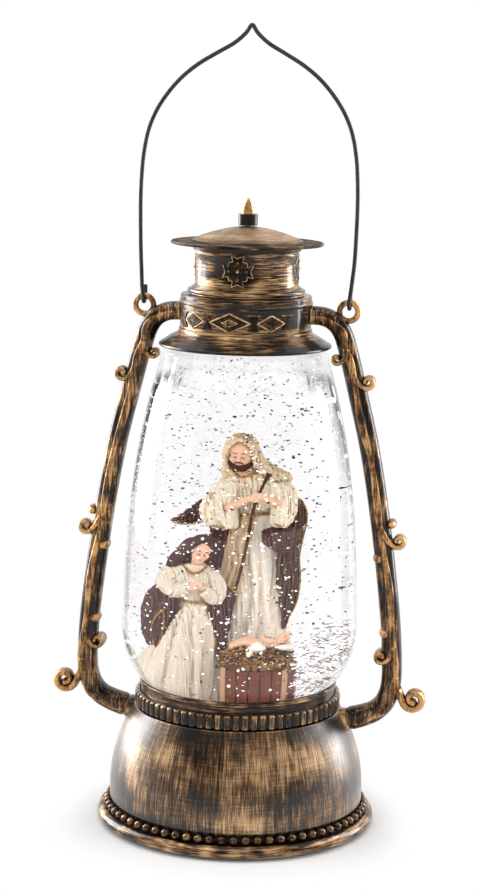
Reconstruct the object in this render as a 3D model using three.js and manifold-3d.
// Battery lantern with a liquid-filled glass globe, in the shape of an old barn lantern.
// Millimetres, +Z up. The origin is at the bottom centre, on the surface that the pads stand on.
// The two side frames lie along X, and the front of the lantern faces -Y.

import * as THREE from 'three';
import { mergeVertices } from 'three/addons/utils/BufferGeometryUtils.js';
import Module from 'manifold-3d';

const wasm = await Module();
wasm.setup();

// Shared clearances, facet counts and the angle of the four corners
const SEAT_GAP = 0.3;
const BIG_SEGMENTS = 28;
const SMALL_SEGMENTS = 20;
const ROD_SEGMENTS = 12;
const DIAGONAL = Math.PI / 4;

// Rubber pads and bottom cover
const PAD_HEIGHT = 1.1;
const PAD_RADIUS = 4.5;
const PAD_INSET = 13;
const COVER_THICKNESS = 1.6;

// Foot rim and the row of beads above it
const FOOT_RADIUS = 55;
const FOOT_RIM_TUBE = 2.4;
const FOOT_RIM_LIFT = 0.8;
const BEAD_COUNT = 70;
const BEAD_INSET = 4;
const BEAD_RADIUS = 1.45;
const BEAD_WAIST = 0.75;

// Bell-shaped base
const BOWL_INSET = 4.7;
const BOWL_WALL = 2.2;
const BOWL_SIDE_TOP = 15;
const SHOULDER_STEP = 2.4;
const SHOULDER_HEIGHT = 46.6;
const BOWL_CURVE_POWER = 1.9;

// Neck that holds the globe, with the lip that the plug stands on
const NECK_RADIUS = 38.6;
const NECK_RISE = 11.4;
const NECK_RIM_BULGE = 0.4;
const NECK_RIM_HEIGHT = 2;
const NECK_LIP_DEPTH = 21.6;
const NECK_LIP_THICKNESS = 2;
const NECK_LIP_BORE = 33;
const NECK_TUBE_WALL = 2;

// Fluted trim ring round the neck
const FLUTE_COUNT = 72;
const FLUTE_WALL = 0.9;
const FLUTE_DEPTH = 0.9;
const FLUTE_RING_HEIGHT = 5.8;

// Globe
const GLOBE_MOUTH_RADIUS = 35.1;
const GLOBE_WALL = 3;
const GLOBE_MOUTH_LIFT = 1.8;
const GLOBE_BULGE_RADIUS = 46.3;
const GLOBE_BULGE_RISE = 20;
const GLOBE_SHOULDER_RADIUS = 33.1;
const GLOBE_RISE = 133;
const GLOBE_CORNER = 7.2;

// Plug in the globe's mouth, its seal and its impeller pin
const PLUG_THICKNESS = 4.6;
const PLUG_FLANGE_THICKNESS = 1.2;
const PLUG_FLANGE_RADIUS = 34.9;
const PLUG_GROOVE_DEPTH = 1.6;
const SEAL_WIRE = 1.2;
const PIN_RADIUS = 1;
const PIN_LENGTH = 5;

// Impeller in the liquid
const IMPELLER_RADIUS = 12;
const IMPELLER_DISC_RADIUS = 10;
const IMPELLER_DISC_THICKNESS = 2.4;
const IMPELLER_HUB_RADIUS = 3;
const IMPELLER_HEIGHT = 6;
const IMPELLER_BLADES = 6;
const BLADE_THICKNESS = 1.2;

// Stage that the figures stand on
const STAGE_RADIUS = 31.4;
const STAGE_DEPTH = 4.5;
const STAGE_THICKNESS = 2.2;
const STAGE_PORTS = 6;
const STAGE_PORT_RADIUS = 2.6;
const STAGE_PORT_CIRCLE = 27.4;
const STAGE_LEGS = 3;
const STAGE_LEG_RADIUS = 2;
const STAGE_LEG_CIRCLE = 20;

// Figures, and the manger among them
const FIGURE_HEIGHT = 100;
const STAFF_RADIUS = 0.65;
const MANGER_X = 8.35;
const MANGER_Y = -14.2;
const MANGER_WIDE = 22.5;
const MANGER_DEEP = 13.6;
const MANGER_HEIGHT = 15.3;
const MANGER_BED_DEPTH = 2.4;
const MANGER_WALL = 1.5;
const STRAW_RISE = 7.6;

// Battery bay, cells and their contacts
const CELL_RADIUS = 7.25;
const CELL_BODY_LENGTH = 49.5;
const CELL_BUTTON_LENGTH = 1;
const CELL_BUTTON_RADIUS = 2.7;
const CELL_COUNT = 3;
const CELL_SPACING = 15.2;
const BAY_SIDE_CLEARANCE = 0.85;
const BAY_WALL = 1.2;
const DOOR_THICKNESS = 1.4;
const DOOR_CLEARANCE = 0.3;
const CELL_LIFT = 0.4;
const SPRING_LENGTH = 5.8;
const SPRING_TURNS = 3;
const SPRING_WIRE = 0.8;
const SPRING_BASE_RADIUS = 5.4;
const SPRING_TIP_RADIUS = 3.2;
const SPRING_STEPS_PER_TURN = 8;
const SPRING_WIRE_SIDES = 5;
const CONTACT_THICKNESS = 0.4;
const CONTACT_SIZE = 11;

// Screws
const SCREW_INSET = 9.4;
const SCREW_SHANK_RADIUS = 1;
const SCREW_HEAD_RADIUS = 2.6;
const SCREW_HEAD_HEIGHT = 1;
const SCREW_LENGTH = 9;
const BOSS_RADIUS = 3.4;
const BOSS_HEIGHT = 14;

// Slide switch under the base
const SWITCH_INSET = 2.1;
const SWITCH_TRAVEL = 2.2;
const SWITCH_KNOB_LENGTH = 5.2;
const SWITCH_KNOB_WIDTH = 3.6;
const SWITCH_KNOB_HEIGHT = 4.2;
const SWITCH_WALL = 2.2;
const SWITCH_BODY_HEIGHT = 6.5;
const SWITCH_CLEARANCE = 0.4;

// Motor, its bracket, the magnet holder it turns and the light board
const MOTOR_RADIUS = 12.2;
const MOTOR_HEIGHT = 12.3;
const BRACKET_THICKNESS = 1.4;
const BRACKET_BORE = 4;
const BRACKET_WINDOWS = 4;
const BRACKET_WINDOW_RADIUS = 6;
const BRACKET_WINDOW_CIRCLE = 22;
const SHAFT_RADIUS = 1;
const MAGNET_RADIUS = 11;
const MAGNET_THICKNESS = 2.8;
const BOARD_THICKNESS = 1.2;
const BOARD_BORE = 13;
const BOARD_RADIUS = 32.5;
const LED_COUNT = 3;
const LED_CIRCLE = 21;
const LED_RADIUS = 2.4;

// Crown under the chimney, with its flared skirt
const SKIRT_RADIUS = 33.5;
const SKIRT_DROP = 0.7;
const SKIRT_RISE = 5.2;
const DRUM_RADIUS = 25.4;
const DRUM_HEIGHT = 14.5;
const DRUM_WALL = 1.6;
const DRUM_BORE = 17;
const LOZENGE_STEP_ANGLE = 36.5;
const LOZENGE_TURN = -6;
const LOZENGE_HEIGHT = 7.4;
const LOZENGE_LONG = 16.6;
const LOZENGE_SHORT = 11.4;
const LOZENGE_FRAME = 1.2;
const LOZENGE_RISE = 5.7;
const RELIEF_HEIGHT = 0.6;

// Chimney and its hood
const STEP_RADIUS = 22.8;
const STEP_HEIGHT = 3;
const CHIMNEY_RADIUS = 19.8;
const CHIMNEY_HEIGHT = 16.6;
const CHIMNEY_WALL = 1.6;
const CROSS_COUNT = 4;
const CROSS_TURN = -2;
const CROSS_SIZE = 11.4;
const CROSS_ARM = 3.8;
const HOOD_RADIUS = 29.5;
const HOOD_BRIM_RISE = 2.9;
const HOOD_DOME_RADIUS = 21.5;
const HOOD_RISE = 6.4;
const HOOD_WALL = 1.4;
const FINIAL_RADIUS = 3.8;
const FINIAL_COLLAR_HEIGHT = 4.4;
const FINIAL_CONE_RADIUS = 2.4;
const FINIAL_CONE_HEIGHT = 5.8;

// Side frames
const FRAME_WIDTH = 8.2;
const FRAME_TOP_WIDTH = 7.2;
const FRAME_DEPTH = 8.4;
const FRAME_RIDGE = 0.8;
const SCROLL_DEPTH = 6.6;
const FACE_SCROLL_DEPTH = 9.8;
const FRAME_STATIONS = 24;
const FRAME_SEAT_LENGTH = 3.4;
const FRAME_FOOT_OUT = 3.6;
const FRAME_FOOT_DROP = 3.3;
const FRAME_TOP_SINK = 3.4;
const FRAME_TOP_DROP = 7.1;
const RING_REACH = 14.5;
const RING_DROP = 5.4;
const RING_RADIUS = 3.55;
const RING_TUBE = 1.15;

// Wire bail
const BAIL_WIRE = 0.8;
const BAIL_LOOP_RADIUS = 2.4;
const BAIL_LOOP_SHIFT = 0.2;
const BAIL_TAIL = 4;
const BAIL_WIDEN = 1.7;
const BAIL_RISE = 104.05;

// Colours and finishes
const finish = (color, roughness, metalness, extra = {}) =>
  new THREE.MeshStandardMaterial({ color, roughness, metalness, ...extra });
const BRONZE = finish(0x7a5a38, 0.38, 0.55);
const DARK_BRONZE = finish(0x3a302a, 0.42, 0.5);
const GOLD = finish(0xb98f55, 0.35, 0.6);
const WIRE = finish(0x3c3c3a, 0.55, 0.7);
const CLEAR = finish(0xdfe8ea, 0.04, 0, { transparent: true, opacity: 0.28 });
const RUBBER = finish(0x1c1c1c, 0.9, 0);
const BLACK_PLASTIC = finish(0x242424, 0.5, 0);
const STEEL = finish(0xb8b8b8, 0.3, 0.9);
const BOARD_GREEN = finish(0x2d5f3a, 0.5, 0.1);
const WARM_LED = finish(0xf4e2b0, 0.2, 0);
const CELL_JACKET = finish(0x4d4f55, 0.35, 0.4);
const WHITE_PLASTIC = finish(0xe6e2da, 0.5, 0);
const ROBE_CREAM = finish(0xe1d2be, 0.5, 0);
const MANGER_RED = finish(0x734641, 0.55, 0);
const STRAW_BROWN = finish(0x80603a, 0.7, 0);
const STAFF_BROWN = finish(0x4a3328, 0.6, 0);

// Welded copy of a geometry: shared corners, no flat triangles, faces pointing out
function weld(geometry) {
  const bare = geometry.clone();
  bare.deleteAttribute('normal');
  bare.deleteAttribute('uv');
  const merged = mergeVertices(bare, 1e-4);
  const index = merged.index.array;
  const position = merged.attributes.position;
  const kept = [];
  let volume = 0;
  const a = new THREE.Vector3();
  const b = new THREE.Vector3();
  const c = new THREE.Vector3();
  for (let i = 0; i < index.length; i += 3) {
    const [p, q, r] = [index[i], index[i + 1], index[i + 2]];
    if (p === q || q === r || r === p) continue;
    kept.push(p, q, r);
    a.fromBufferAttribute(position, p);
    b.fromBufferAttribute(position, q);
    c.fromBufferAttribute(position, r);
    volume += a.dot(b.cross(c));
  }
  if (volume < 0) kept.reverse();
  merged.setIndex(kept);
  return merged;
}

function toSolid(geometry) {
  const welded = weld(geometry);
  const vertProperties = new Float32Array(welded.attributes.position.array);
  const triVerts = new Uint32Array(welded.index.array);
  return new wasm.Manifold(new wasm.Mesh({ numProp: 3, vertProperties, triVerts }));
}

function fromSolid(solid) {
  const mesh = solid.getMesh();
  const geometry = new THREE.BufferGeometry();
  geometry.setAttribute('position', new THREE.BufferAttribute(mesh.vertProperties, 3));
  geometry.setIndex(new THREE.BufferAttribute(mesh.triVerts, 1));
  return geometry;
}

function join(geometries) {
  const solids = geometries.map(toSolid);
  return fromSolid(solids.reduce((sum, solid) => sum.add(solid)));
}

function cut(geometry, tools) {
  return fromSolid(tools.reduce((left, tool) => left.subtract(toSolid(tool)), toSolid(geometry)));
}

// Solid of revolution about Z, from a closed outline of [radius, height] points
function revolve(outline, segments = BIG_SEGMENTS) {
  const points = outline.map(([radius, height]) => new THREE.Vector2(radius, height));
  const onAxis = points[0].x === 0 && points[points.length - 1].x === 0;
  if (!onAxis) points.push(points[0].clone());
  return weld(new THREE.LatheGeometry(points, segments).rotateX(Math.PI / 2));
}

function rod(radius, bottom, top, segments = ROD_SEGMENTS) {
  return revolve([[0, bottom], [radius, bottom], [radius, top], [0, top]], segments);
}

function block(sizeX, sizeY, bottom, top, x = 0, y = 0) {
  const height = top - bottom;
  return new THREE.BoxGeometry(sizeX, sizeY, height).translate(x, y, bottom + height / 2);
}

// Plate with its outline in the X-Z plane and its thickness along Y
function upright(shape, thickness) {
  const settings = { depth: thickness, bevelEnabled: false, steps: 1 };
  return new THREE.ExtrudeGeometry(shape, settings).rotateX(Math.PI / 2)
    .translate(0, thickness / 2, 0);
}

// Closed body through rings that all have the same number of points
function loft(rings) {
  const count = rings[0].length;
  const position = [];
  const index = [];
  for (const ring of rings) {
    for (const point of ring) position.push(point.x, point.y, point.z);
  }
  for (let level = 0; level < rings.length - 1; level += 1) {
    for (let i = 0; i < count; i += 1) {
      const next = (i + 1) % count;
      const low = level * count;
      const high = low + count;
      index.push(low + i, low + next, high + next, low + i, high + next, high + i);
    }
  }
  const last = (rings.length - 1) * count;
  for (let i = 1; i < count - 1; i += 1) {
    index.push(0, i + 1, i, last, last + i, last + i + 1);
  }
  const geometry = new THREE.BufferGeometry();
  geometry.setAttribute('position', new THREE.Float32BufferAttribute(position, 3));
  geometry.setIndex(index);
  return weld(geometry);
}

function place(geometry, x, y, z, turn = 0) {
  return geometry.rotateZ(turn).translate(x, y, z);
}

function around(count, offset, make) {
  return Array.from({ length: count }, (_, i) => make(offset + (i * 2 * Math.PI) / count, i));
}

// Radius of the bell outside at a height
function bowlRadius(height) {
  const t = Math.max(0, (height - BOWL_SIDE_TOP) / (SHOULDER_HEIGHT - BOWL_SIDE_TOP));
  return shoulderRadius + (bowlSideRadius - shoulderRadius) * (1 - t ** BOWL_CURVE_POWER);
}

// Heights that several pieces share
const padCircle = FOOT_RADIUS - PAD_INSET;
const screwCircle = FOOT_RADIUS - SCREW_INSET;
const beadCircle = FOOT_RADIUS - BEAD_INSET;
const bowlSideRadius = FOOT_RADIUS - BOWL_INSET;
const shoulderRadius = NECK_RADIUS + SHOULDER_STEP;
const neckTop = SHOULDER_HEIGHT + NECK_RISE;
const neckLipTop = neckTop - NECK_LIP_DEPTH;
const fluteRadius = NECK_RADIUS + SEAT_GAP + FLUTE_WALL + FLUTE_DEPTH;
const globeMouthHeight = neckLipTop + GLOBE_MOUTH_LIFT;
const globeBulgeHeight = neckTop + GLOBE_BULGE_RISE;
const globeTop = neckTop + GLOBE_RISE;
const globeShoulderHeight = globeTop - GLOBE_CORNER;
const stageTop = neckTop - STAGE_DEPTH;
const skirtHeight = globeTop - SKIRT_DROP;
const drumBottom = skirtHeight + SKIRT_RISE;
const drumTop = drumBottom + DRUM_HEIGHT;
const chimneyBottom = drumTop + SEAT_GAP;
const chimneyTop = chimneyBottom + CHIMNEY_HEIGHT;
const hoodBrim = chimneyTop + HOOD_BRIM_RISE;
const hoodTop = hoodBrim + HOOD_RISE;
const ringX = DRUM_RADIUS + RING_REACH;
const ringZ = drumTop - RING_DROP;
const coverBottom = PAD_HEIGHT + SEAT_GAP;
const coverTop = coverBottom + COVER_THICKNESS;
const coverSeat = coverTop + SEAT_GAP;
const coverRadius = FOOT_RADIUS - 2 * FOOT_RIM_TUBE;
const rimTop = FOOT_RIM_LIFT + 2 * FOOT_RIM_TUBE;
const beadHeight = rimTop + SEAT_GAP + BEAD_RADIUS;
const beadSeatRadius = beadCircle - BEAD_RADIUS - SEAT_GAP;
const neckBore = GLOBE_MOUTH_RADIUS + SEAT_GAP;
const neckTubeRadius = neckBore + NECK_TUBE_WALL;
const neckLipBottom = neckLipTop - NECK_LIP_THICKNESS;
const bracketTop = neckLipBottom - SEAT_GAP;
const bracketBottom = bracketTop - BRACKET_THICKNESS;
const motorTop = bracketBottom - SEAT_GAP;
const boardBottom = bracketTop + SEAT_GAP;
const boardTop = boardBottom + BOARD_THICKNESS;
const plugBottom = neckLipTop + SEAT_GAP;
const plugDeck = globeMouthHeight - SEAT_GAP;
const plugTop = plugDeck + PLUG_THICKNESS;
const plugRadius = GLOBE_MOUTH_RADIUS - GLOBE_WALL - SEAT_GAP;
const stageBottom = stageTop - STAGE_THICKNESS;
const figureFloor = stageTop + SEAT_GAP;
const cellFloor = coverBottom + DOOR_THICKNESS + CELL_LIFT;
const cellHeight = cellFloor + CELL_RADIUS;
const cellSpan = CELL_BODY_LENGTH + CELL_BUTTON_LENGTH;
const bayHalfLength = (cellSpan + SPRING_LENGTH + 2 * CONTACT_THICKNESS + 5 * SEAT_GAP) / 2;
const bayHalfWidth = ((CELL_COUNT - 1) * CELL_SPACING) / 2 + CELL_RADIUS + BAY_SIDE_CLEARANCE;
const bayRoof = cellHeight + CELL_RADIUS + 2 * SEAT_GAP;
const hoodSeat = chimneyTop + SEAT_GAP;
const bailPivot = ringZ + RING_RADIUS;
const bailLoopX = ringX + BAIL_LOOP_SHIFT;
const bailHalfWidth = bailLoopX + BAIL_WIDEN;
const switchSlotLength = SWITCH_KNOB_LENGTH + 2 * (SWITCH_TRAVEL + SWITCH_CLEARANCE);
const switchSlotWidth = SWITCH_KNOB_WIDTH + 2 * SWITCH_CLEARANCE;
const switchY = bayHalfWidth + BAY_WALL + SWITCH_INSET + SWITCH_WALL + switchSlotWidth / 2;
const strawFloor = figureFloor + MANGER_HEIGHT - MANGER_BED_DEPTH + SEAT_GAP;

// Centre line of the right side frame: how far each point lies outside the straight line from
// foot to top, and how high up it is, as shares of the frame's rise
const FRAME_LINE = [
  [0, 0], [0.0379, 0.0113], [0.0687, 0.0251], [0.0931, 0.047], [0.1091, 0.0758], [0.1185, 0.1109],
  [0.124, 0.1548], [0.1306, 0.2362], [0.1335, 0.3365], [0.1343, 0.4618], [0.132, 0.5871],
  [0.1268, 0.6873], [0.1168, 0.7851], [0.1067, 0.8772], [0.1006, 0.9229], [0.094, 0.9561],
  [0.08, 0.9812], [0.0546, 0.9962], [0, 1],
];
// How far the raised vine line on each face lies from the centre line, in frame widths
const VINE_OFFSETS = [0.2, 0.2, 0.2, 0.2, 0.15, 0.07, 0, -0.05, 0, 0.04, 0, -0.05];

const frameFoot = [shoulderRadius + FRAME_FOOT_OUT, SHOULDER_HEIGHT - FRAME_FOOT_DROP];
const frameTop = [DRUM_RADIUS - FRAME_TOP_SINK, drumTop - FRAME_TOP_DROP];
const frameRise = frameTop[1] - frameFoot[1];

// Place beside the right frame, from how far outside its straight line and how high up it is
function framePlace([out, up]) {
  return new THREE.Vector3(frameFoot[0] + (frameTop[0] - frameFoot[0]) * up + out * frameRise,
    0, frameFoot[1] + frameRise * up);
}

const frameCurve = new THREE.CatmullRomCurve3(FRAME_LINE.map(framePlace), false, 'centripetal');

function alongList(values, t) {
  const place = t * (values.length - 1);
  const low = Math.min(Math.floor(place), values.length - 2);
  return values[low] + (values[low + 1] - values[low]) * (place - low);
}

// Ring of points round the frame's centre line: a rounded bar with a ridge front and back
function frameSection(centre, tangent, halfWidth, ridge, ridgeOffset) {
  const outward = new THREE.Vector3(tangent.z, 0, -tangent.x);
  const halfDepth = FRAME_DEPTH / 2;
  const side = halfWidth * 0.78;
  const offset = Math.max(-side + 1.2, Math.min(side - 1.2, ridgeOffset));
  const front = [
    [side, -halfDepth * 0.86], [offset + 1, -halfDepth], [offset, -halfDepth - ridge],
    [offset - 1, -halfDepth], [-side, -halfDepth * 0.86],
  ];
  const back = front.map(([across, deep]) => [across, -deep]).reverse();
  return [[halfWidth, 0], ...front, [-halfWidth, 0], ...back].map(([across, deep]) =>
    centre.clone().addScaledVector(outward, across).add(new THREE.Vector3(0, deep, 0)));
}

function frameBar() {
  const rings = [];
  for (let i = 0; i <= FRAME_STATIONS; i += 1) {
    const t = i / FRAME_STATIONS;
    const taper = FRAME_WIDTH + (FRAME_TOP_WIDTH - FRAME_WIDTH) * t;
    const flare = 1 + 0.12 * Math.max(0, 1 - t * 8);
    const ridge = FRAME_RIDGE * Math.min(1, 6 * t + 0.2, 6 * (1 - t) + 0.2);
    rings.push(frameSection(frameCurve.getPoint(t), frameCurve.getTangent(t),
      (taper * flare) / 2, ridge, alongList(VINE_OFFSETS, t) * FRAME_WIDTH));
  }
  return loft(rings);
}

// Curled scroll: a tapering strip that leaves the frame and rolls in on itself, with its place
// as on the frame's line and its radius, strip and stem in frame widths
function scroll({ at, radius, start, turns, sense, strip, stem, depth, steps }) {
  const outer = [];
  const inner = [];
  const add = (angle, middle, half, shift) => {
    const dx = Math.cos(angle);
    const dz = Math.sin(angle);
    const along = new THREE.Vector2(-dz, dx).multiplyScalar(-sense * shift);
    outer.push(new THREE.Vector2(dx, dz).multiplyScalar(middle + half).add(along));
    inner.push(new THREE.Vector2(dx, dz).multiplyScalar(middle - half).add(along));
  };
  const startAngle = THREE.MathUtils.degToRad(start);
  const [reach, width, root] = [radius, strip, stem].map((share) => share * FRAME_WIDTH);
  add(startAngle, reach - width / 2, width * 0.55, root);
  for (let i = 0; i <= steps; i += 1) {
    const t = i / steps;
    const angle = startAngle + sense * turns * 2 * Math.PI * t;
    const middle = (reach - width / 2) * (1 - t) + width * 0.55 * t;
    add(angle, middle, width * (0.5 - 0.06 * t), 0);
  }
  const centre = framePlace(at);
  const shape = new THREE.Shape([...outer, ...inner.reverse()]);
  return upright(shape, depth).translate(centre.x, 0, centre.z);
}

const SCROLLS = [
  { at: [0.1689, 0.0602], radius: 0.7, start: 205, turns: 1.15, sense: 1, strip: 0.34,
    stem: 0.732, depth: SCROLL_DEPTH, steps: 10 },
  { at: [0.1413, 0.8427], radius: 0.455, start: 225, turns: 0.85, sense: 1, strip: 0.268,
    stem: 0.415, depth: SCROLL_DEPTH, steps: 6 },
  { at: [0.1742, 0.4555], radius: 0.455, start: 225, turns: 0.85, sense: 1, strip: 0.268,
    stem: 0.415, depth: SCROLL_DEPTH, steps: 6 },
  { at: [0.0716, 0.8954], radius: 0.335, start: -45, turns: 0.75, sense: -1, strip: 0.21,
    stem: 0.415, depth: SCROLL_DEPTH, steps: 5 },
  { at: [0.0987, 0.166], radius: 0.42, start: -45, turns: 0.85, sense: -1, strip: 0.244,
    stem: 0.317, depth: FACE_SCROLL_DEPTH, steps: 6 },
];
// Small buds beside the scrolls: place as on the frame's line, and radius in frame widths
const BUDS = [
  { at: [0.1619, 0.4975], radius: 0.232 },
  { at: [0.1209, 0.411], radius: 0.293 },
  { at: [0.1151, 0.2243], radius: 0.28 },
];

function frameRing() {
  return new THREE.TorusGeometry(RING_RADIUS, RING_TUBE, 6, 12).rotateX(Math.PI / 2)
    .translate(ringX, 0, ringZ);
}

function sideFrame() {
  const buds = BUDS.map(({ at, radius }) => {
    const size = radius * FRAME_WIDTH;
    return new THREE.CylinderGeometry(size, size, FACE_SCROLL_DEPTH, 7)
      .translate(...framePlace(at).toArray());
  });
  const drum = rod(DRUM_RADIUS + SEAT_GAP, drumBottom, drumTop, BIG_SEGMENTS);
  const frame = join([frameBar(), ...SCROLLS.map(scroll), ...buds, frameRing()]);
  return cut(frame, [drum]);
}

// Stub on the base that meets the lower end of a side frame
function frameSeat() {
  const tangent = frameCurve.getTangent(0);
  const seam = frameCurve.getPoint(0).addScaledVector(tangent, -SEAT_GAP);
  const root = seam.clone().addScaledVector(tangent, -FRAME_SEAT_LENGTH);
  const halfWidth = FRAME_WIDTH * 0.56;
  return loft([root, seam].map((centre) => frameSection(centre, tangent, halfWidth, 0.2, 0)));
}

function screwBoss(angle) {
  const shell = rod(BOSS_RADIUS, coverSeat, coverSeat + BOSS_HEIGHT, 8);
  return place(shell, screwCircle * Math.cos(angle), screwCircle * Math.sin(angle), 0);
}

function screwHole(angle, radius, bottom, top) {
  const hole = rod(radius, bottom, top, 8);
  return place(hole, screwCircle * Math.cos(angle), screwCircle * Math.sin(angle), 0);
}

function baseHousing() {
  const rimCentre = FOOT_RADIUS - FOOT_RIM_TUBE;
  const rimMiddle = FOOT_RIM_LIFT + FOOT_RIM_TUBE;
  const rim = [-90, -45, 0, 45, 90].map((degrees) => {
    const angle = THREE.MathUtils.degToRad(degrees);
    return [rimCentre + FOOT_RIM_TUBE * Math.cos(angle),
      rimMiddle + FOOT_RIM_TUBE * Math.sin(angle)];
  });
  const bellHeights = [0, 0.3, 0.55, 0.78, 1].map((share) =>
    BOWL_SIDE_TOP + share * (SHOULDER_HEIGHT - BOWL_SIDE_TOP));
  const bell = bellHeights.map((height) => [bowlRadius(height), height]);
  const inside = bellHeights.slice(0, 4).reverse().map((height) =>
    [bowlRadius(height) - BOWL_WALL, height - BOWL_WALL / 2]);
  const beadSeatTop = beadHeight + BEAD_RADIUS + SEAT_GAP;
  const outline = [
    [coverRadius + SEAT_GAP, FOOT_RIM_LIFT], ...rim,
    [beadSeatRadius, rimTop], [beadSeatRadius, beadSeatTop], [bowlSideRadius, beadSeatTop], ...bell,
    [NECK_RADIUS, SHOULDER_HEIGHT + SEAT_GAP],
    [NECK_RADIUS, neckTop - NECK_RIM_HEIGHT],
    [NECK_RADIUS + NECK_RIM_BULGE, neckTop - 0.75 * NECK_RIM_HEIGHT],
    [NECK_RADIUS + NECK_RIM_BULGE, neckTop - NECK_RIM_BULGE],
    [NECK_RADIUS, neckTop], [neckBore, neckTop],
    [neckBore, neckLipTop], [NECK_LIP_BORE, neckLipTop], [NECK_LIP_BORE, neckLipBottom],
    [neckTubeRadius, neckLipBottom], [neckTubeRadius, SHOULDER_HEIGHT - BOWL_WALL],
    ...inside,
    [beadSeatRadius - BOWL_WALL, beadSeatTop], [beadSeatRadius - BOWL_WALL, coverSeat],
    [coverRadius + SEAT_GAP, coverSeat],
  ];
  const seats = [frameSeat(), frameSeat().rotateZ(Math.PI)];
  const bosses = around(4, DIAGONAL, screwBoss);
  const pilot = SCREW_SHANK_RADIUS + SEAT_GAP;
  const holes = around(4, DIAGONAL, (angle) =>
    screwHole(angle, pilot, coverBottom, coverBottom + SCREW_LENGTH + 2 * SEAT_GAP));
  return cut(join([revolve(outline), ...seats, ...bosses]), holes);
}

// Row of beads joined by a thin waist, as one ring
function beadRing() {
  const rings = [];
  const steps = BEAD_COUNT * 2;
  for (let i = 0; i < steps; i += 1) {
    const angle = (i * 2 * Math.PI) / steps;
    const size = i % 2 === 0 ? BEAD_RADIUS : BEAD_WAIST;
    const corners = [[-1, 0], [0, -1], [1, 0], [0, 1]];
    rings.push(corners.map(([across, up]) => new THREE.Vector3(
      (beadCircle + size * across) * Math.cos(angle),
      (beadCircle + size * across) * Math.sin(angle), beadHeight + size * up)));
  }
  return closedRing(rings);
}

// Closed ring through sections, the last joined to the first
function closedRing(rings) {
  const count = rings[0].length;
  const position = rings.flat().flatMap((point) => [point.x, point.y, point.z]);
  const index = [];
  rings.forEach((_, level) => {
    const low = level * count;
    const high = ((level + 1) % rings.length) * count;
    for (let i = 0; i < count; i += 1) {
      const next = (i + 1) % count;
      index.push(low + i, low + next, high + next, low + i, high + next, high + i);
    }
  });
  const geometry = new THREE.BufferGeometry();
  geometry.setAttribute('position', new THREE.Float32BufferAttribute(position, 3));
  geometry.setIndex(index);
  return weld(geometry);
}

// Trim ring with upright flutes all round
function flutedCollar() {
  const circle = (count, radius) => around(count, 0, (angle, i) =>
    new THREE.Vector2(radius(i) * Math.cos(angle), radius(i) * Math.sin(angle)));
  const crest = (i) => (i % 2 === 0 ? fluteRadius : fluteRadius - FLUTE_DEPTH);
  const shape = new THREE.Shape(circle(FLUTE_COUNT * 2, crest));
  shape.holes.push(new THREE.Path(circle(BIG_SEGMENTS, () => NECK_RADIUS + SEAT_GAP)));
  return new THREE.ExtrudeGeometry(shape, { depth: FLUTE_RING_HEIGHT, bevelEnabled: false })
    .translate(0, 0, SHOULDER_HEIGHT + 2 * SEAT_GAP);
}

function bottomCover() {
  const plate = rod(coverRadius, coverBottom, coverTop, BIG_SEGMENTS);
  const outer = block(2 * (bayHalfLength + BAY_WALL), 2 * (bayHalfWidth + BAY_WALL),
    coverBottom, bayRoof + BAY_WALL);
  const inner = block(2 * bayHalfLength, 2 * bayHalfWidth, coverBottom - 1, bayRoof);
  const window = block(switchSlotLength, switchSlotWidth, coverBottom - 1, coverTop + 1,
    0, switchY);
  const holes = around(4, DIAGONAL, (angle) =>
    screwHole(angle, SCREW_SHANK_RADIUS + SEAT_GAP, coverBottom - 1, coverTop + 1));
  return cut(join([plate, outer]), [inner, window, ...holes]);
}

function switchBody() {
  const bottom = coverTop + SEAT_GAP;
  const shell = block(switchSlotLength + 2 * SWITCH_WALL, switchSlotWidth + 2 * SWITCH_WALL,
    bottom, bottom + SWITCH_BODY_HEIGHT, 0, switchY);
  const track = block(switchSlotLength, switchSlotWidth, bottom - 1,
    bottom + SWITCH_BODY_HEIGHT - SWITCH_WALL, 0, switchY);
  return cut(shell, [track]);
}

function switchKnob() {
  const bottom = coverBottom + SEAT_GAP;
  return block(SWITCH_KNOB_LENGTH, SWITCH_KNOB_WIDTH, bottom, bottom + SWITCH_KNOB_HEIGHT,
    0, switchY);
}

function screw() {
  const head = coverBottom - SEAT_GAP;
  return revolve([[0, head - SCREW_HEAD_HEIGHT], [SCREW_HEAD_RADIUS, head - SCREW_HEAD_HEIGHT],
    [SCREW_HEAD_RADIUS, head], [SCREW_SHANK_RADIUS, head],
    [SCREW_SHANK_RADIUS, head + SCREW_LENGTH], [0, head + SCREW_LENGTH + 1]], 8);
}

function batteryDoor() {
  const length = 2 * (bayHalfLength - DOOR_CLEARANCE);
  const width = 2 * (bayHalfWidth - DOOR_CLEARANCE);
  const plate = block(length, width, coverBottom, coverBottom + DOOR_THICKNESS);
  const grip = block(1.2, width * 0.3, coverBottom - 1, coverBottom + 0.5);
  const grips = [-1, 0, 1].map((step) => grip.clone().translate(step * 3 - length * 0.36, 0, 0));
  return cut(plate, grips);
}

function cell() {
  const half = cellSpan / 2;
  const shoulder = half - CELL_BUTTON_LENGTH;
  return revolve([[0, -half], [CELL_RADIUS - 0.8, -half], [CELL_RADIUS, -half + 0.8],
    [CELL_RADIUS, shoulder - 0.6], [CELL_RADIUS - 0.6, shoulder], [CELL_BUTTON_RADIUS, shoulder],
    [CELL_BUTTON_RADIUS, half], [0, half]], 14).rotateY(Math.PI / 2);
}

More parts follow.
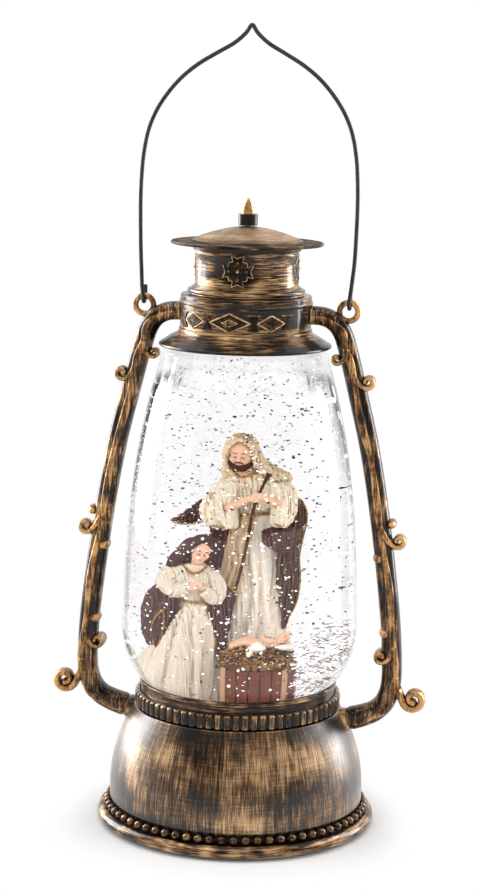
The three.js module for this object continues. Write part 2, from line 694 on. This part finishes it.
// Conical battery spring: one unbroken wire along X, wide at its plate and narrow at the cell
function contactSpring() {
  const steps = SPRING_TURNS * SPRING_STEPS_PER_TURN;
  const wire = SPRING_WIRE / 2;
  const travel = SPRING_LENGTH - SPRING_WIRE;
  const centres = [];
  for (let i = 0; i <= steps; i += 1) {
    const t = i / steps;
    const angle = t * SPRING_TURNS * 2 * Math.PI;
    const radius = SPRING_BASE_RADIUS + (SPRING_TIP_RADIUS - SPRING_BASE_RADIUS) * t;
    centres.push(new THREE.Vector3(wire + travel * t, radius * Math.cos(angle),
      radius * Math.sin(angle)));
  }
  const rings = centres.map((centre) => {
    const outward = new THREE.Vector3(0, centre.y, centre.z).normalize();
    const along = new THREE.Vector3(1, 0, 0);
    return around(SPRING_WIRE_SIDES, 0, (angle) => centre.clone()
      .addScaledVector(outward, wire * Math.cos(angle))
      .addScaledVector(along, wire * Math.sin(angle)));
  });
  const gap = leastTurnGap(centres, SPRING_STEPS_PER_TURN) - SPRING_WIRE;
  console.log(`contact spring: least gap between turns ${gap.toFixed(2)} mm`);
  return loft(rings);
}

// Least distance between points of a winding that lie about a turn or more apart
function leastTurnGap(points, stepsPerTurn) {
  let least = Infinity;
  points.forEach((point, i) => {
    points.slice(i + stepsPerTurn - 1).forEach((other) => {
      least = Math.min(least, point.distanceTo(other));
    });
  });
  return least;
}

function contactPlate(cells) {
  const width = CONTACT_SIZE + (cells - 1) * CELL_SPACING;
  return block(CONTACT_THICKNESS, width, cellHeight - CONTACT_SIZE / 2,
    cellHeight + CONTACT_SIZE / 2);
}

function motorCan() {
  const bottom = motorTop - MOTOR_HEIGHT;
  return revolve([[0, bottom], [2.5, bottom], [2.5, bottom + 0.6], [MOTOR_RADIUS - 1, bottom + 0.6],
    [MOTOR_RADIUS, bottom + 1.6], [MOTOR_RADIUS, motorTop], [0, motorTop]], SMALL_SEGMENTS);
}

function motorBracket() {
  const plate = rod(neckTubeRadius, bracketBottom, bracketTop, SMALL_SEGMENTS);
  const windows = around(BRACKET_WINDOWS, DIAGONAL, (angle) => place(
    rod(BRACKET_WINDOW_RADIUS, bracketBottom - 1, bracketTop + 1, 8),
    BRACKET_WINDOW_CIRCLE * Math.cos(angle), BRACKET_WINDOW_CIRCLE * Math.sin(angle), 0));
  return cut(plate, [rod(BRACKET_BORE, bracketBottom - 1, bracketTop + 1), ...windows]);
}

function magnetHolder() {
  const top = plugDeck - SEAT_GAP;
  const bottom = top - MAGNET_THICKNESS;
  const shaftEnd = motorTop + SEAT_GAP;
  return revolve([[0, shaftEnd], [SHAFT_RADIUS, shaftEnd], [SHAFT_RADIUS, bottom],
    [MAGNET_RADIUS - 0.5, bottom], [MAGNET_RADIUS, bottom + 0.5], [MAGNET_RADIUS, top], [0, top]],
    SMALL_SEGMENTS);
}

function lightBoard() {
  return revolve([[BOARD_BORE, boardBottom], [BOARD_RADIUS, boardBottom],
    [BOARD_RADIUS, boardTop], [BOARD_BORE, boardTop]], SMALL_SEGMENTS);
}

function lightEmittingDiode() {
  const bottom = boardTop + SEAT_GAP;
  const height = plugDeck - SEAT_GAP - bottom;
  return revolve([[0, bottom], [LED_RADIUS, bottom], [LED_RADIUS, bottom + height * 0.45],
    [LED_RADIUS * 0.6, bottom + height * 0.9], [0, bottom + height]], 8);
}

function globePlug() {
  const grooveMiddle = plugDeck + PLUG_THICKNESS / 2;
  const grooveHalf = SEAL_WIRE / 2 + SEAT_GAP;
  const groove = plugRadius - PLUG_GROOVE_DEPTH;
  const pinTop = plugTop + PIN_LENGTH;
  return revolve([[0, plugDeck], [NECK_LIP_BORE - 2, plugDeck], [NECK_LIP_BORE - 2, plugBottom],
    [PLUG_FLANGE_RADIUS, plugBottom], [PLUG_FLANGE_RADIUS, plugBottom + PLUG_FLANGE_THICKNESS],
    [plugRadius, plugBottom + PLUG_FLANGE_THICKNESS],
    [plugRadius, grooveMiddle - grooveHalf], [groove, grooveMiddle - grooveHalf],
    [groove, grooveMiddle + grooveHalf], [plugRadius, grooveMiddle + grooveHalf],
    [plugRadius, plugTop], [PIN_RADIUS, plugTop], [PIN_RADIUS, pinTop], [0, pinTop + 0.6]],
    SMALL_SEGMENTS);
}

function plugSeal() {
  const inner = plugRadius - PLUG_GROOVE_DEPTH + SEAT_GAP;
  const middle = plugDeck + PLUG_THICKNESS / 2;
  const half = SEAL_WIRE / 2;
  return revolve([[inner, middle], [inner + half, middle - half], [inner + SEAL_WIRE, middle],
    [inner + half, middle + half]], SMALL_SEGMENTS);
}

function impeller() {
  const bottom = plugTop + SEAT_GAP;
  const disc = bottom + IMPELLER_DISC_THICKNESS;
  const top = bottom + IMPELLER_HEIGHT;
  const hub = revolve([[0, bottom], [IMPELLER_DISC_RADIUS, bottom], [IMPELLER_DISC_RADIUS, disc],
    [IMPELLER_HUB_RADIUS, disc], [IMPELLER_HUB_RADIUS, top], [0, top + 0.6]], 16);
  const length = IMPELLER_RADIUS - IMPELLER_HUB_RADIUS + 1;
  const blades = around(IMPELLER_BLADES, 0, (angle) => block(length, BLADE_THICKNESS,
    disc - 0.4, top, IMPELLER_HUB_RADIUS - 1 + length / 2, 0).rotateZ(angle));
  const bore = rod(PIN_RADIUS + SEAT_GAP, bottom - 1, plugTop + PIN_LENGTH + 1, 10);
  return cut(join([hub, ...blades]), [bore]);
}

function stage() {
  const disc = rod(STAGE_RADIUS, stageBottom, stageTop, BIG_SEGMENTS);
  const at = (geometry, circle, angle) =>
    place(geometry, circle * Math.cos(angle), circle * Math.sin(angle), 0);
  const legs = around(STAGE_LEGS, Math.PI / 2, (angle) => at(
    rod(STAGE_LEG_RADIUS, plugTop + SEAT_GAP, stageBottom + 0.5, 8), STAGE_LEG_CIRCLE, angle));
  const ports = around(STAGE_PORTS, Math.PI / 2, (angle) => at(
    rod(STAGE_PORT_RADIUS, stageBottom - 1, stageTop + 1, 8), STAGE_PORT_CIRCLE, angle));
  return cut(join([disc, ...legs]), ports);
}

// Half outline of the globe between the mouth and the closed top, moved in by an offset
function globeOutline(inset) {
  const flare = neckTop + SEAT_GAP;
  const rise = globeShoulderHeight - globeBulgeHeight;
  const side = (share) => [GLOBE_BULGE_RADIUS
    - (GLOBE_BULGE_RADIUS - GLOBE_SHOULDER_RADIUS) * (0.12 * share + 0.88 * share ** 2.6),
  globeBulgeHeight + rise * share];
  const start = [NECK_RADIUS + NECK_RIM_BULGE, flare + 0.2];
  const swell = ([out, up]) => [start[0] + (GLOBE_BULGE_RADIUS - start[0]) * out,
    start[1] + (globeBulgeHeight - start[1]) * up];
  const lower = [start, swell([0.493, 0.292]), swell([0.849, 0.61])];
  const sides = [0, 0.24, 0.48, 0.69, 0.86, 1].map(side);
  const top = [[GLOBE_SHOULDER_RADIUS - 1, globeTop - 3.4],
    [GLOBE_SHOULDER_RADIUS - 3.6, globeTop - 1.2], [24, globeTop]];
  const move = ([radius, height], i) => [radius - inset,
    height + (i < lower.length ? inset * 0.5 : 0)];
  return [...[...lower, ...sides].map(move), ...top.map(([r, z]) => [r - inset, z - inset])];
}

function globe() {
  const flare = neckTop + SEAT_GAP;
  const outer = [[GLOBE_MOUTH_RADIUS, globeMouthHeight], [GLOBE_MOUTH_RADIUS, flare],
    ...globeOutline(0), [0, globeTop]];
  const lining = globeOutline(GLOBE_WALL).filter((_, i) => i < 3 || i % 2 === 1 || i > 9)
    .reverse();
  const inner = [[0, globeTop - GLOBE_WALL], ...lining,
    [GLOBE_MOUTH_RADIUS - GLOBE_WALL, flare],
    [GLOBE_MOUTH_RADIUS - GLOBE_WALL, globeMouthHeight]];
  const points = [...outer, ...inner].map(([r, z]) => new THREE.Vector2(r, z));
  points.push(points[0].clone());
  return weld(new THREE.LatheGeometry(points, BIG_SEGMENTS).rotateX(Math.PI / 2));
}

// Flat shape bent round a drum and raised above it
function relief(shape, radius, angle, height) {
  const sink = 0.4;
  const settings = { depth: RELIEF_HEIGHT + sink, bevelEnabled: false, steps: 1 };
  const plate = new THREE.ExtrudeGeometry(shape, settings);
  const position = plate.attributes.position;
  for (let i = 0; i < position.count; i += 1) {
    const turn = angle + position.getX(i) / radius;
    const reach = radius - sink + position.getZ(i);
    position.setXYZ(i, reach * Math.sin(turn), -reach * Math.cos(turn),
      height + position.getY(i));
  }
  return plate;
}

function lozenge(width, height) {
  const outline = (x, y) => [[x, 0], [0, y], [-x, 0], [0, -y]]
    .map(([a, b]) => new THREE.Vector2(a, b));
  const shape = new THREE.Shape(outline(width / 2, height / 2));
  const share = 1 - (2 * LOZENGE_FRAME) / height;
  shape.holes.push(new THREE.Path(outline((width / 2) * share, (height / 2) * share)));
  return shape;
}

function crown() {
  const underside = globeTop + SEAT_GAP;
  const body = revolve([[SKIRT_RADIUS - 0.8, skirtHeight - 0.4], [SKIRT_RADIUS, skirtHeight],
    [SKIRT_RADIUS - 0.2, skirtHeight + 0.6], [DRUM_RADIUS + 1, drumBottom - 0.6],
    [DRUM_RADIUS, drumBottom], [DRUM_RADIUS, drumTop - 0.4], [DRUM_RADIUS - 0.4, drumTop],
    [DRUM_BORE, drumTop], [DRUM_BORE, drumTop - DRUM_WALL],
    [DRUM_RADIUS - DRUM_WALL, drumTop - DRUM_WALL], [DRUM_RADIUS - DRUM_WALL, underside],
    [DRUM_RADIUS, underside], [DRUM_RADIUS, drumBottom - 1.6]]);
  const large = lozenge(LOZENGE_LONG, LOZENGE_HEIGHT);
  const small = lozenge(LOZENGE_SHORT, LOZENGE_HEIGHT * 0.84);
  const step = THREE.MathUtils.degToRad(LOZENGE_STEP_ANGLE);
  const turn = THREE.MathUtils.degToRad(LOZENGE_TURN);
  const reliefs = around(2, turn, (angle) => [[large, 0], [small, step], [small, -step]]
    .map(([shape, aside]) => relief(shape, DRUM_RADIUS, angle + aside, drumBottom + LOZENGE_RISE)));
  return join([body, ...reliefs.flat()]);
}

function crossShape() {
  const half = CROSS_SIZE / 2;
  const arm = CROSS_ARM / 2;
  const quarter = [[half, -arm], [half, arm], [arm + 0.8, arm + 0.8]];
  const points = around(4, 0, (angle) => quarter.map(([x, y]) =>
    new THREE.Vector2(x, y).rotateAround(new THREE.Vector2(), angle))).flat();
  return new THREE.Shape(points);
}

function chimney() {
  const bottom = chimneyBottom;
  const step = bottom + STEP_HEIGHT;
  const bore = CHIMNEY_RADIUS - CHIMNEY_WALL;
  const body = revolve([[bore, bottom], [STEP_RADIUS - 0.3, bottom],
    [STEP_RADIUS, bottom + STEP_HEIGHT * 0.3], [STEP_RADIUS - 0.4, bottom + STEP_HEIGHT * 0.75],
    [CHIMNEY_RADIUS + 0.7, step], [CHIMNEY_RADIUS, step + 0.7], [CHIMNEY_RADIUS, chimneyTop],
    [bore, chimneyTop]]);
  const middle = (step + chimneyTop) / 2;
  const crosses = around(CROSS_COUNT, THREE.MathUtils.degToRad(CROSS_TURN), (angle) =>
    relief(crossShape(), CHIMNEY_RADIUS, angle, middle));
  return join([body, ...crosses]);
}

function hood() {
  const lip = hoodBrim;
  const domeEdge = lip + 1.1;
  const dome = (share) => [HOOD_DOME_RADIUS * share,
    domeEdge + (hoodTop - domeEdge) * (1 - share ** 1.8)];
  return revolve([[0, hoodTop - HOOD_WALL], [HOOD_DOME_RADIUS - 5, lip + 0.4],
    [CHIMNEY_RADIUS - 1.2, hoodSeat], [CHIMNEY_RADIUS + 1, hoodSeat],
    [CHIMNEY_RADIUS + 1.4, lip - 0.9], [HOOD_RADIUS - 1.2, lip - 0.7], [HOOD_RADIUS, lip - 0.3],
    [HOOD_RADIUS, lip + 0.4], [HOOD_RADIUS - 1, lip + 0.8], dome(1), dome(0.8), dome(0.55),
    dome(0.3), [0, hoodTop]]);
}

function finial() {
  const bottom = hoodTop + SEAT_GAP;
  const collar = bottom + FINIAL_COLLAR_HEIGHT;
  return revolve([[0, bottom], [FINIAL_RADIUS - 0.4, bottom], [FINIAL_RADIUS, bottom + 0.4],
    [FINIAL_RADIUS, collar - 0.4], [FINIAL_RADIUS - 0.4, collar], [FINIAL_CONE_RADIUS, collar],
    [FINIAL_CONE_RADIUS * 0.55, collar + FINIAL_CONE_HEIGHT * 0.55],
    [0.35, collar + FINIAL_CONE_HEIGHT], [0, collar + FINIAL_CONE_HEIGHT + 0.1]], 14);
}

// Curve that steps from one of its points to the next, so bends get as many steps as they need
class PointCurve extends THREE.CatmullRomCurve3 {
  getPointAt(t) {
    return this.getPoint(t);
  }

  getTangentAt(t) {
    return this.getTangent(t);
  }
}

// Legs and arch of the bail: how far out each point is, its Y in loop radii on the legs, and its
// height above the rings as a share of the bail's rise
const BAIL_LEG = [[0.3, -0.917, 0.0384], [0.55, -0.5, 0.0865], [0.8, -0.125, 0.1346],
  [1, 0, 0.2114]];
const BAIL_ARCH = [
  [1.005, 0.3638], [0.998, 0.4503], [0.98, 0.532], [0.935, 0.6194], [0.86, 0.6905],
  [0.755, 0.754], [0.63, 0.8097], [0.48, 0.8578], [0.3, 0.901], [0.15, 0.9366],
  [0.05, 0.9731],
];

// One side of the bail, from the loose end of its hook to just short of the apex
function bailSide(side) {
  const loop = [0, 30, 60, 90, 120, 150, 180].map((degrees) => {
    const angle = THREE.MathUtils.degToRad(degrees);
    return new THREE.Vector3(side * bailLoopX, BAIL_LOOP_RADIUS * Math.cos(angle),
      bailPivot - BAIL_LOOP_RADIUS * Math.sin(angle));
  });
  const leg = BAIL_LEG.map(([share, y, rise]) => new THREE.Vector3(
    side * (bailLoopX + BAIL_WIDEN * share), y * BAIL_LOOP_RADIUS, bailPivot + rise * BAIL_RISE));
  const arch = BAIL_ARCH.map(([share, rise]) =>
    new THREE.Vector3(side * bailHalfWidth * share, 0, bailPivot + rise * BAIL_RISE));
  const tail = new THREE.Vector3(side * bailLoopX, BAIL_LOOP_RADIUS, bailPivot + BAIL_TAIL);
  return [tail, ...loop, ...leg, ...arch];
}

function bail() {
  const apex = new THREE.Vector3(0, 0, bailPivot + BAIL_RISE);
  const points = [...bailSide(-1), apex, ...bailSide(1).reverse()];
  const section = new THREE.Shape(around(6, 0, (angle) =>
    new THREE.Vector2(BAIL_WIRE * Math.cos(angle), BAIL_WIRE * Math.sin(angle))));
  const extrudePath = new PointCurve(points, false, 'centripetal');
  return new THREE.ExtrudeGeometry(section, { steps: points.length - 1, extrudePath });
}

// Ring of cloth folds, from its centre, half width, half depth and the share that it ripples
function foldRing([x, y, z, wide, deep, ripple = 0], count, folds) {
  return around(count, 0, (angle) => {
    const swell = 1 + ripple * Math.cos(folds * angle);
    return new THREE.Vector3(
      x + wide * swell * Math.cos(angle), y + deep * swell * Math.sin(angle), z);
  });
}

function drape(levels, count = 8, folds = 4) {
  return loft(levels.map((level) => foldRing(level, count, folds)));
}

function ball(x, y, z, wide, deep, high, across = 8, up = 5) {
  return new THREE.SphereGeometry(1, across, up).rotateX(Math.PI / 2)
    .scale(wide, deep, high).translate(x, y, z);
}

// Tapering limb between two points, with its ends left flat
function limb(from, to, startRadius, endRadius, sides = 6) {
  const start = new THREE.Vector3(...from);
  const end = new THREE.Vector3(...to);
  const along = end.clone().sub(start);
  const turn = new THREE.Quaternion().setFromUnitVectors(
    new THREE.Vector3(0, 1, 0), along.clone().normalize());
  return new THREE.CylinderGeometry(endRadius, startRadius, along.length(), sides)
    .applyQuaternion(turn).translate(...start.add(end).multiplyScalar(0.5).toArray());
}

// The figures are drawn in hundredths of the standing figure's height, above their floor
function figure(geometry) {
  const unit = FIGURE_HEIGHT / 100;
  return geometry.scale(unit, unit, unit).translate(0, 0, figureFloor);
}

// Ends of the staff, which passes through the standing figure's fist
const STAFF_ENDS = [[9.4, -8.8, 88], [0.2, -8.4, 44]];

// Standing robed figure with a veil, a cape, a long cloak and the fist that holds the staff
function standingFigure() {
  const robe = drape([
    [4.1, 6, 0, 11.8, 9, 0.06], [3.8, 6, 16, 11, 8.2, 0.06], [3.6, 6, 28, 10.4, 7.8, 0.06],
    [3.1, 6, 46, 9, 7, 0.05], [3.2, 5.5, 59, 7.1, 6.3], [3.4, 5, 70, 6, 5.6],
  ], 10, 5);
  const cape = drape([
    [3.6, 4.5, 73, 10.6, 6.6], [2.9, 4.5, 78, 12.3, 6.4], [2.5, 4.1, 83.4, 9.4, 5.2],
    [1.7, 2.8, 88, 3.2, 2.8],
  ]);
  const cloak = drape([
    [3.6, 10, 3.2, 10.8, 6, 0.05], [3.8, 10, 26, 12, 6.4, 0.05], [4.8, 8.4, 50, 14, 6.6, 0.04],
    [4.9, 6.9, 68, 14.5, 6], [4.6, 6.4, 75, 13.6, 5.2], [3.9, 6.2, 81, 9.4, 4],
  ]);
  const cloakFront = drape([
    [14.2, 2, 27, 0.8, 1.2], [15.2, 1.3, 41, 2.6, 2.4], [16.3, 0.6, 60, 3.5, 2.8],
    [17.1, 0.7, 73, 3.1, 2.8], [14.4, 1.6, 79.6, 2.4, 2.4],
  ]);
  const veil = drape([
    [3.9, 4.2, 83.2, 9.6, 4.8], [2.4, 3.4, 87.6, 8.2, 4.8], [-0.1, 2.7, 92.8, 5.5, 4.8],
    [-0.6, 2, 98.2, 4.2, 4.3], [-0.7, 1.8, 100, 1.6, 1.8],
  ]);
  const head = ball(-0.2, -1.2, 93.8, 3.8, 4.5, 5.5, 9, 6);
  const beard = ball(-0.1, -2.6, 89.4, 2.5, 2.4, 3, 8, 5);
  const leftSleeve = drape([
    [-5.2, -2.8, 66, 2.2, 2], [-6.6, -3.2, 70.4, 4.8, 3.6], [-6.2, -3, 75.4, 4.4, 3.7],
    [-5, -2, 80, 2.4, 2.6],
  ]);
  const rightSleeve = drape([
    [12.7, -3.2, 67, 1.6, 1.6], [13.2, -2.8, 71.4, 3.4, 3.4], [13.1, -1.7, 77.4, 3.6, 3.8],
    [12.4, -0.4, 81.4, 2.4, 2.6],
  ]);
  const forearms = [limb([-4, -5, 74.8], [3, -8.2, 76.2], 1.7, 1.3),
    limb([13.6, -4, 76.6], [8, -8.2, 77.2], 1.7, 1.4)];
  const fist = ball(6.2, -8.7, 76.9, 3.6, 2.3, 2.4);
  const wing = limb([-7.4, 0.8, 75.2], [-20.3, -1, 67.4], 3.6, 0.8);
  const gather = ball(11.2, -1.8, 61.8, 4.6, 3, 4.6, 7, 4);
  const grip = limb(...STAFF_ENDS, STAFF_RADIUS + SEAT_GAP, STAFF_RADIUS + SEAT_GAP, 8);
  return figure(cut(join([robe, cape, cloak, cloakFront, veil, head, beard, leftSleeve,
    rightSleeve, ...forearms, fist, wing, gather]), [grip]));
}

// Kneeling robed figure with long hair, crossed hands and a cloak over both arms
function kneelingFigure() {
  const robe = drape([
    [-16.3, -9.2, 0, 12, 10, 0.04], [-17.2, -9.2, 8, 12.8, 10.2, 0.05],
    [-16.3, -9.4, 15.6, 11.7, 9.4, 0.05], [-14.4, -9.7, 26, 8.6, 7.6, 0.04],
    [-12.7, -9.5, 36.8, 4.4, 4.7], [-12.9, -8.9, 42.2, 4.8, 4.6],
  ], 10, 5);
  const train = drape([
    [-22.4, -5.6, 0.6, 6.2, 8.4], [-24.2, -5.6, 9, 7.6, 9.2], [-23.8, -6.1, 15, 6, 7.4],
    [-22.2, -7, 20, 2, 2.6],
  ]);
  const cape = drape([
    [-14.8, -7.6, 41.2, 7, 4.8], [-15.4, -7.3, 45.2, 9.2, 5.6], [-14.6, -7.2, 49.4, 7.4, 4.6],
    [-12.6, -7.6, 52.4, 2.6, 2.6],
  ]);
  const leftCloak = drape([
    [-22.8, -12, 17.8, 1.6, 1.4], [-25, -10.4, 22.6, 4.2, 3.2], [-24.2, -9.5, 30.6, 5.8, 3.8],
    [-22.6, -9.2, 38.4, 6, 3.6], [-21.4, -8.4, 44.8, 3.4, 2.8],
  ]);
  const rightCloak = drape([
    [-4.2, -11.4, 22, 1.2, 1], [-4.3, -9.9, 35, 3.9, 2.3], [-3.7, -9.2, 41, 3.1, 2.3],
    [-4.4, -8.6, 44.6, 1.6, 1.5],
  ]);
  const backCloak = drape([
    [-15.4, -2.6, 8.4, 10.2, 3.2, 0.05], [-16, -2.2, 26, 11.8, 3.8, 0.05],
    [-14.4, -3.6, 47.4, 7.6, 2.4],
  ]);
  const head = ball(-11, -9.4, 57.6, 3.5, 4.2, 4.9, 9, 6);
  const neck = limb([-12.6, -8, 50], [-11.2, -9, 56], 2, 1.9);
  const hair = ball(-11.7, -7.9, 58.5, 4.1, 4.3, 4.5);
  const tresses = [limb([-14.4, -7.2, 58.4], [-19.6, -6.4, 53], 2.4, 2.1),
    limb([-19, -6.5, 53.4], [-23.2, -5.8, 49.6], 2.1, 1.2)];
  const sleeves = [limb([-22.2, -9.4, 44.6], [-14.4, -14, 43.8], 3.1, 2.2),
    limb([-5.8, -9.6, 43], [-9.6, -14, 43.2], 2.5, 2),
    limb([-8.4, -7.6, 48.8], [-5.8, -10, 42.2], 2.5, 2.5)];
  const hands = ball(-12, -14.8, 44.4, 2.9, 1.6, 1.9);
  return figure(join([robe, train, cape, leftCloak, rightCloak, backCloak, neck, head, hair,
    ...tresses, ...sleeves, hands]));
}

function staff() {
  return figure(limb(...STAFF_ENDS, STAFF_RADIUS * 0.9, STAFF_RADIUS));
}

// Manger: a box with upright boards on its front, and a hollow for the straw
function manger() {
  const rim = figureFloor + MANGER_HEIGHT;
  const box = block(MANGER_WIDE - MANGER_WALL, MANGER_DEEP - MANGER_WALL, figureFloor, rim - 0.4,
    MANGER_X, MANGER_Y);
  const posts = [-1, 1].flatMap((side) => [-1, 1].map((end) => block(MANGER_WALL, MANGER_WALL,
    figureFloor, rim, MANGER_X + (side * (MANGER_WIDE - MANGER_WALL)) / 2,
    MANGER_Y + (end * (MANGER_DEEP - MANGER_WALL)) / 2)));
  const bed = block(MANGER_WIDE - 2 * MANGER_WALL, MANGER_DEEP - 2 * MANGER_WALL,
    rim - MANGER_BED_DEPTH, rim + 1, MANGER_X, MANGER_Y);
  return cut(join([box, ...posts]), [bed]);
}

// Heap of straw that fills the manger's hollow and hangs over its rim
function straw() {
  const wide = MANGER_WIDE / 2 - MANGER_WALL - SEAT_GAP;
  const deep = MANGER_DEEP / 2 - MANGER_WALL - SEAT_GAP;
  const lump = (share, high) => ball(MANGER_X + share * wide, MANGER_Y, strawFloor, wide * 0.44,
    deep, high);
  const overhang = ball(MANGER_X, MANGER_Y, strawFloor + STRAW_RISE * 0.65, MANGER_WIDE / 2,
    MANGER_DEEP / 2, STRAW_RISE * 0.3, 8, 4);
  const heap = join([lump(-0.54, STRAW_RISE), lump(0, STRAW_RISE * 0.95),
    lump(0.54, STRAW_RISE * 0.98), overhang]);
  return cut(heap, [block(2 * MANGER_WIDE, 2 * MANGER_DEEP, strawFloor - STRAW_RISE, strawFloor,
    MANGER_X, MANGER_Y)]);
}

// Infant that lies on the straw, with its head towards the right end of the manger
function infant() {
  const middle = strawFloor + STRAW_RISE + SEAT_GAP + 2;
  const body = ball(MANGER_X - 1.8, MANGER_Y - 0.4, middle, 7.4, 2.6, 2);
  const chest = ball(MANGER_X + 4.8, MANGER_Y - 0.4, middle + 0.6, 3.4, 2.6, 2.2);
  const head = ball(MANGER_X + 8.2, MANGER_Y - 0.4, middle + 2.2, 2.3, 2.4, 2.5);
  return join([body, chest, head]);
}

const lantern = new THREE.Group();

function add(name, geometry, material, parent = lantern) {
  const mesh = new THREE.Mesh(geometry, material);
  mesh.name = name;
  parent.add(mesh);
  return mesh;
}

// Base with its pads, screws and cover
add('base_housing', baseHousing(), BRONZE);
add('bead_ring', beadRing(), GOLD);
add('fluted_collar', flutedCollar(), GOLD);
add('bottom_cover', bottomCover(), BLACK_PLASTIC);
around(4, 0, (angle, i) => {
  const pad = add(`foot_pad_${i + 1}`, rod(PAD_RADIUS, 0, PAD_HEIGHT, 12), RUBBER);
  pad.position.set(padCircle * Math.cos(angle), padCircle * Math.sin(angle), 0);
});
around(4, DIAGONAL, (angle, i) => {
  const fixing = add(`cover_screw_${i + 1}`, screw(), STEEL);
  fixing.position.set(screwCircle * Math.cos(angle), screwCircle * Math.sin(angle), 0);
});

// Switch and battery bay
add('switch_body', switchBody(), BLACK_PLASTIC);
add('switch_knob', switchKnob(), WHITE_PLASTIC);
add('battery_door', batteryDoor(), BLACK_PLASTIC);

for (let i = 0; i < CELL_COUNT; i += 1) {
  const row = new THREE.Group();
  const turned = i % 2 === 1;
  row.position.set(0, (i - (CELL_COUNT - 1) / 2) * CELL_SPACING, cellHeight);
  row.rotation.z = turned ? Math.PI : 0;
  const end = bayHalfLength - SEAT_GAP - CONTACT_THICKNESS - SEAT_GAP;
  add(`cell_${i + 1}`, cell(), CELL_JACKET, row).position.x = end - cellSpan / 2;
  add(`contact_spring_${i + 1}`, contactSpring(), STEEL, row).position.x = -end;
  lantern.add(row);
}
const plateX = bayHalfLength - SEAT_GAP - CONTACT_THICKNESS / 2;
const plates = [['contact_single_left', -1, 1, -1], ['contact_bridge_left', -1, 2, 0.5],
  ['contact_bridge_right', 1, 2, -0.5], ['contact_single_right', 1, 1, 1]];
for (const [name, side, cells, rows] of plates) {
  add(name, contactPlate(cells), STEEL).position.set(side * plateX, rows * CELL_SPACING, 0);
}

// Drive and lights under the globe
add('motor', motorCan(), STEEL);
add('motor_bracket', motorBracket(), BLACK_PLASTIC);
add('magnet_holder', magnetHolder(), WHITE_PLASTIC);
add('light_board', lightBoard(), BOARD_GREEN);
around(LED_COUNT, Math.PI / 6, (angle, i) => {
  const lamp = add(`led_${i + 1}`, lightEmittingDiode(), WARM_LED);
  lamp.position.set(LED_CIRCLE * Math.cos(angle), LED_CIRCLE * Math.sin(angle), 0);
});

// Globe and what it holds
add('globe_plug', globePlug(), CLEAR);
add('plug_seal', plugSeal(), RUBBER);
add('impeller', impeller(), WHITE_PLASTIC);
add('stage', stage(), WHITE_PLASTIC);
add('globe', globe(), CLEAR);
add('standing_figure', standingFigure(), ROBE_CREAM);
add('staff', staff(), STAFF_BROWN);
add('kneeling_figure', kneelingFigure(), ROBE_CREAM);
add('manger', manger(), MANGER_RED);
add('straw', straw(), STRAW_BROWN);
add('infant', infant(), ROBE_CREAM);

// Crown, chimney, frames and bail
add('crown', crown(), BRONZE);
add('chimney', chimney(), BRONZE);
add('hood', hood(), BRONZE);
add('finial', finial(), GOLD);
add('side_frame_right', sideFrame(), DARK_BRONZE);
add('side_frame_left', sideFrame(), DARK_BRONZE).rotation.z = Math.PI;
add('bail', bail(), WIRE);

export default lantern;
